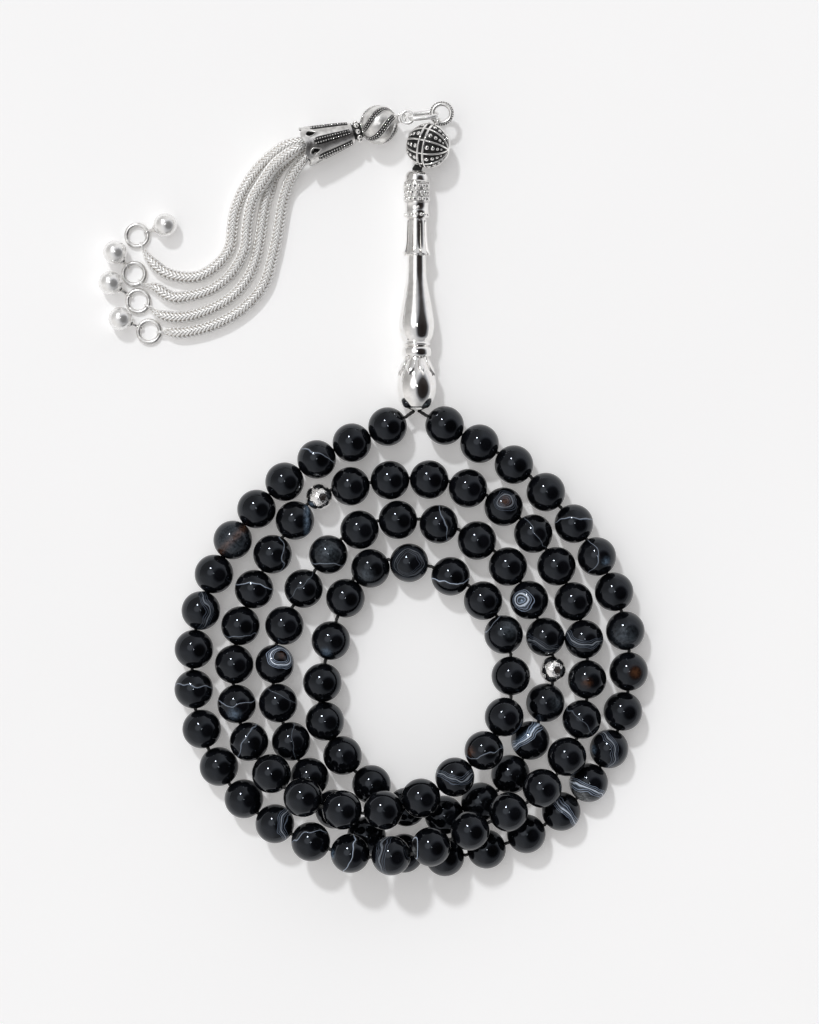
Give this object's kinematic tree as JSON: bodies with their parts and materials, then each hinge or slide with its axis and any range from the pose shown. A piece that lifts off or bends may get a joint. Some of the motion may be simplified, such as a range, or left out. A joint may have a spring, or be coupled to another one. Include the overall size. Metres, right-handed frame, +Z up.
{
  "type": "misbaha prayer beads",
  "caption": "string of round black agate prayer beads with two silver markers, a silver imame and a tassel of four foxtail chains with drops",
  "frame": {"origin": "middle of the bounding box of the strand, imame and cap in plan, on the surface it lies on", "axes": "+Z up from the surface, +Y along the imame away from the beads, +X to the right of the imame seen from above"},
  "size_m": [0.1101, 0.1548, 0.0165],
  "materials": {
    "agate": "polished black banded agate",
    "cord": "waxed black cord",
    "silver": "polished silver with oxidised recesses",
    "polished_silver": "mirror-polished silver",
    "chain": "satin foxtail chain"
  },
  "bodies": {
    "strand": {"strand_cord": "cord", "beads_second_third": "agate", "beads_last_third": "agate"},
    "imame_cord": {"imame_cord": "cord"},
    "imame": {"imame": "silver"},
    "knob_ball": {"knob_ball": "silver"},
    "ball_ring": {"ball_ring": "silver"},
    "oval_link": {"oval_link": "polished_silver"},
    "cap_jump_ring": {"cap_jump_ring": "polished_silver"},
    "cap": {"cap_melon": "silver", "cap_collar": "silver", "cap_bell": "silver", "cap_hanger": "silver"},
    "chain_bundle": {"chain_1": "chain", "chain_2": "chain", "chain_3": "chain", "chain_4": "chain"},
    "bead_01": {"bead_01": "agate"},
    "bead_02": {"bead_02": "agate"},
    "bead_03": {"bead_03": "agate"},
    "bead_04": {"bead_04": "agate"},
    "bead_05": {"bead_05": "agate"},
    "bead_06": {"bead_06": "agate"},
    "bead_07": {"bead_07": "agate"},
    "bead_08": {"bead_08": "agate"},
    "bead_09": {"bead_09": "agate"},
    "bead_10": {"bead_10": "agate"},
    "bead_11": {"bead_11": "agate"},
    "bead_12": {"bead_12": "agate"},
    "bead_13": {"bead_13": "agate"},
    "bead_14": {"bead_14": "agate"},
    "bead_15": {"bead_15": "agate"},
    "bead_16": {"bead_16": "agate"},
    "bead_17": {"bead_17": "agate"},
    "bead_18": {"bead_18": "agate"},
    "bead_19": {"bead_19": "agate"},
    "bead_20": {"bead_20": "agate"},
    "bead_21": {"bead_21": "agate"},
    "bead_22": {"bead_22": "agate"},
    "bead_23": {"bead_23": "agate"},
    "bead_24": {"bead_24": "agate"},
    "bead_25": {"bead_25": "agate"},
    "bead_26": {"bead_26": "agate"},
    "bead_27": {"bead_27": "agate"},
    "bead_28": {"bead_28": "agate"},
    "bead_29": {"bead_29": "agate"},
    "bead_30": {"bead_30": "agate"},
    "bead_31": {"bead_31": "agate"},
    "bead_32": {"bead_32": "agate"},
    "bead_33": {"bead_33": "agate"},
    "marker_bead_1": {"marker_bead_1": "silver"},
    "marker_bead_2": {"marker_bead_2": "silver"},
    "end_ring_1": {"end_ring_1": "polished_silver"},
    "end_ring_2": {"end_ring_2": "polished_silver"},
    "end_ring_3": {"end_ring_3": "polished_silver"},
    "end_ring_4": {"end_ring_4": "polished_silver"},
    "drop_1": {"drop_1": "polished_silver"},
    "drop_2": {"drop_2": "polished_silver"},
    "drop_3": {"drop_3": "polished_silver"},
    "drop_4": {"drop_4": "polished_silver"}
  },
  "joints": [
    {"name": "imame_lift", "type": "hinge", "parent": "strand", "child": "imame_cord", "pos_m": [0.001, 0.01565, 0.004], "axis": [1, 0, 0], "range_deg": [0, 60]},
    {"name": "imame_spin", "type": "hinge", "parent": "imame_cord", "child": "imame", "pos_m": [0.001, 0.0158, 0.004], "axis": [0, 1, 0], "continuous": true},
    {"name": "ball_swing", "type": "hinge", "parent": "imame_cord", "child": "knob_ball", "pos_m": [0.001, 0.0639, 0.004], "axis": [0, 0, 1], "range_deg": [-10, 10]},
    {"name": "ball_ring_swing", "type": "hinge", "parent": "knob_ball", "child": "ball_ring", "pos_m": [0.00527, 0.07325, 0.0045], "axis": [0.9205, -0.3907, 0], "range_deg": [-30, 0]},
    {"name": "oval_link_swing", "type": "hinge", "parent": "ball_ring", "child": "oval_link", "pos_m": [0.0041, 0.07484, 0.0045], "axis": [-0.1045, 0.9945, 0], "range_deg": [0, 30]},
    {"name": "cap_jump_ring_swing", "type": "hinge", "parent": "oval_link", "child": "cap_jump_ring", "pos_m": [-0.00038, 0.07437, 0.0045], "axis": [0.0523, -0.4973, 0.866], "range_deg": [-15, 15]},
    {"name": "cap_swing", "type": "hinge", "parent": "cap_jump_ring", "child": "cap", "pos_m": [-0.00204, 0.07419, 0.0045], "axis": [-0.1045, 0.9945, 0], "range_deg": [0, 30]},
    {"name": "chains_swing", "type": "hinge", "parent": "cap", "child": "chain_bundle", "pos_m": [-0.01957, 0.06894, 0.004], "axis": [-0.2874, 0.9578, 0], "range_deg": [0, 15]},
    {"name": "end_ring_1_swing", "type": "hinge", "parent": "chain_bundle", "child": "end_ring_1", "pos_m": [-0.05426, 0.04904, 0.00047], "axis": [0.9015, 0.4327, 0], "range_deg": [0, 45]},
    {"name": "drop_1_swing", "type": "hinge", "parent": "end_ring_1", "child": "drop_1", "pos_m": [-0.05314, 0.05171, 0.00047], "axis": [0.326, -0.9454, 0], "range_deg": [0, 45]},
    {"name": "end_ring_2_swing", "type": "hinge", "parent": "chain_bundle", "child": "end_ring_2", "pos_m": [-0.05446, 0.04159, 0.00047], "axis": [0.7875, 0.6163, 0], "range_deg": [0, 45]},
    {"name": "drop_2_swing", "type": "hinge", "parent": "end_ring_2", "child": "drop_2", "pos_m": [-0.05724, 0.04493, 0.00047], "axis": [0.7504, 0.661, 0], "range_deg": [0, 45]},
    {"name": "end_ring_3_swing", "type": "hinge", "parent": "chain_bundle", "child": "end_ring_3", "pos_m": [-0.05307, 0.0368, 0.00047], "axis": [0.4614, 0.8872, 0], "range_deg": [0, 45]},
    {"name": "drop_3_swing", "type": "hinge", "parent": "end_ring_3", "child": "drop_3", "pos_m": [-0.05681, 0.03901, 0.00047], "axis": [0.5547, 0.8321, 0], "range_deg": [0, 45]},
    {"name": "end_ring_4_swing", "type": "hinge", "parent": "chain_bundle", "child": "end_ring_4", "pos_m": [-0.05063, 0.03154, 0.00047], "axis": [0.0712, 0.9975, 0], "range_deg": [0, 45]},
    {"name": "drop_4_swing", "type": "hinge", "parent": "end_ring_4", "child": "drop_4", "pos_m": [-0.05479, 0.03259, 0.00047], "axis": [0.4077, 0.9131, 0], "range_deg": [0, 45]},
    {"name": "bead_01_spin", "type": "hinge", "parent": "strand", "child": "bead_01", "pos_m": [-0.00478, 0.01249, 0.00388], "axis": [-0.8865, -0.4625, -0.0141], "continuous": true},
    {"name": "bead_02_spin", "type": "hinge", "parent": "strand", "child": "bead_02", "pos_m": [-0.01191, 0.00927, 0.00382], "axis": [-0.9328, -0.3604, 0], "continuous": true},
    {"name": "bead_03_spin", "type": "hinge", "parent": "strand", "child": "bead_03", "pos_m": [-0.01898, 0.00592, 0.00382], "axis": [-0.8693, -0.4942, 0], "continuous": true},
    {"name": "bead_04_spin", "type": "hinge", "parent": "strand", "child": "bead_04", "pos_m": [-0.02538, 0.00146, 0.00382], "axis": [-0.7648, -0.6442, 0], "continuous": true},
    {"name": "bead_05_spin", "type": "hinge", "parent": "strand", "child": "bead_05", "pos_m": [-0.031, -0.004, 0.00382], "axis": [-0.6661, -0.7459, 0], "continuous": true},
    {"name": "bead_06_spin", "type": "hinge", "parent": "strand", "child": "bead_06", "pos_m": [-0.03575, -0.01019, 0.00382], "axis": [-0.5482, -0.8363, 0], "continuous": true},
    {"name": "bead_07_spin", "type": "hinge", "parent": "strand", "child": "bead_07", "pos_m": [-0.0395, -0.017, 0.00382], "axis": [-0.4132, -0.9106, 0], "continuous": true},
    {"name": "bead_08_spin", "type": "hinge", "parent": "strand", "child": "bead_08", "pos_m": [-0.04212, -0.02431, 0.00382], "axis": [-0.2604, -0.9655, 0], "continuous": true},
    {"name": "bead_09_spin", "type": "hinge", "parent": "strand", "child": "bead_09", "pos_m": [-0.04351, -0.03203, 0.00382], "axis": [-0.0931, -0.9957, 0], "continuous": true},
    {"name": "bead_10_spin", "type": "hinge", "parent": "strand", "child": "bead_10", "pos_m": [-0.04354, -0.04005, 0.00382], "axis": [0.0826, -0.9966, 0], "continuous": true},
    {"name": "bead_11_spin", "type": "hinge", "parent": "strand", "child": "bead_11", "pos_m": [-0.04195, -0.04802, 0.00382], "axis": [0.3068, -0.9518, 0], "continuous": true},
    {"name": "bead_12_spin", "type": "hinge", "parent": "strand", "child": "bead_12", "pos_m": [-0.03852, -0.05551, 0.00382], "axis": [0.5176, -0.8556, 0], "continuous": true},
    {"name": "bead_13_spin", "type": "hinge", "parent": "strand", "child": "bead_13", "pos_m": [-0.03349, -0.06193, 0.00432], "axis": [0.7046, -0.6988, 0.1234], "continuous": true},
    {"name": "bead_14_spin", "type": "hinge", "parent": "strand", "child": "bead_14", "pos_m": [-0.02722, -0.06673, 0.00595], "axis": [0.8334, -0.4796, 0.2746], "continuous": true},
    {"name": "bead_15_spin", "type": "hinge", "parent": "strand", "child": "bead_15", "pos_m": [-0.01999, -0.07004, 0.0083], "axis": [0.9024, -0.3187, 0.29], "continuous": true},
    {"name": "bead_16_spin", "type": "hinge", "parent": "strand", "child": "bead_16", "pos_m": [-0.01212, -0.07208, 0.01053], "axis": [0.9579, -0.1632, 0.236], "continuous": true},
    {"name": "bead_17_spin", "type": "hinge", "parent": "strand", "child": "bead_17", "pos_m": [-0.00404, -0.0724, 0.01176], "axis": [0.9941, 0.0918, 0.058], "continuous": true},
    {"name": "bead_18_spin", "type": "hinge", "parent": "strand", "child": "bead_18", "pos_m": [0.00383, -0.07065, 0.0115], "axis": [0.935, 0.3332, -0.1213], "continuous": true},
    {"name": "bead_19_spin", "type": "hinge", "parent": "strand", "child": "bead_19", "pos_m": [0.01158, -0.06761, 0.0105], "axis": [0.9124, 0.3921, -0.1173], "continuous": true},
    {"name": "bead_20_spin", "type": "hinge", "parent": "strand", "child": "bead_20", "pos_m": [0.01922, -0.06402, 0.00962], "axis": [0.8873, 0.4526, -0.0888], "continuous": true},
    {"name": "bead_21_spin", "type": "hinge", "parent": "strand", "child": "bead_21", "pos_m": [0.02593, -0.05941, 0.0086], "axis": [0.73, 0.6646, -0.1597], "continuous": true},
    {"name": "bead_22_spin", "type": "hinge", "parent": "strand", "child": "bead_22", "pos_m": [0.0309, -0.05328, 0.00707], "axis": [0.4924, 0.8435, -0.2146], "continuous": true},
    {"name": "bead_23_spin", "type": "hinge", "parent": "strand", "child": "bead_23", "pos_m": [0.03396, -0.04598, 0.00552], "axis": [0.2595, 0.9511, -0.1678], "continuous": true},
    {"name": "bead_24_spin", "type": "hinge", "parent": "strand", "child": "bead_24", "pos_m": [0.0351, -0.03805, 0.00447], "axis": [0.0219, 0.9956, -0.0915], "continuous": true},
    {"name": "bead_25_spin", "type": "hinge", "parent": "strand", "child": "bead_25", "pos_m": [0.03451, -0.03005, 0.00396], "axis": [-0.1713, 0.9847, -0.0333], "continuous": true},
    {"name": "bead_26_spin", "type": "hinge", "parent": "strand", "child": "bead_26", "pos_m": [0.03243, -0.0225, 0.00382], "axis": [-0.3588, 0.9334, 0], "continuous": true},
    {"name": "bead_27_spin", "type": "hinge", "parent": "strand", "child": "bead_27", "pos_m": [0.02901, -0.01545, 0.00382], "axis": [-0.5103, 0.86, 0], "continuous": true},
    {"name": "bead_28_spin", "type": "hinge", "parent": "strand", "child": "bead_28", "pos_m": [0.02436, -0.00894, 0.00382], "axis": [-0.6466, 0.7629, 0], "continuous": true},
    {"name": "bead_29_spin", "type": "hinge", "parent": "strand", "child": "bead_29", "pos_m": [0.01844, -0.00356, 0.00382], "axis": [-0.8206, 0.5714, 0], "continuous": true},
    {"name": "bead_30_spin", "type": "hinge", "parent": "strand", "child": "bead_30", "pos_m": [0.01131, 0.00014, 0.00382], "axis": [-0.9396, 0.3422, 0], "continuous": true},
    {"name": "bead_31_spin", "type": "hinge", "parent": "strand", "child": "bead_31", "pos_m": [0.00356, 0.00188, 0.00382], "axis": [-0.9961, 0.0884, 0], "continuous": true},
    {"name": "bead_32_spin", "type": "hinge", "parent": "strand", "child": "bead_32", "pos_m": [-0.00431, 0.00177, 0.00382], "axis": [-0.9932, -0.1164, 0], "continuous": true},
    {"name": "bead_33_spin", "type": "hinge", "parent": "strand", "child": "bead_33", "pos_m": [-0.01221, 0.00055, 0.00382], "axis": [-0.9824, -0.1867, 0], "continuous": true},
    {"name": "marker_bead_1_spin", "type": "hinge", "parent": "strand", "child": "marker_bead_1", "pos_m": [-0.0185, -0.00159, 0.00382], "axis": [-0.8594, -0.5112, 0], "continuous": true},
    {"name": "marker_bead_2_spin", "type": "hinge", "parent": "strand", "child": "marker_bead_2", "pos_m": [0.02829, -0.03607, 0.00382], "axis": [0.0057, 1, 0], "continuous": true}
  ]
}
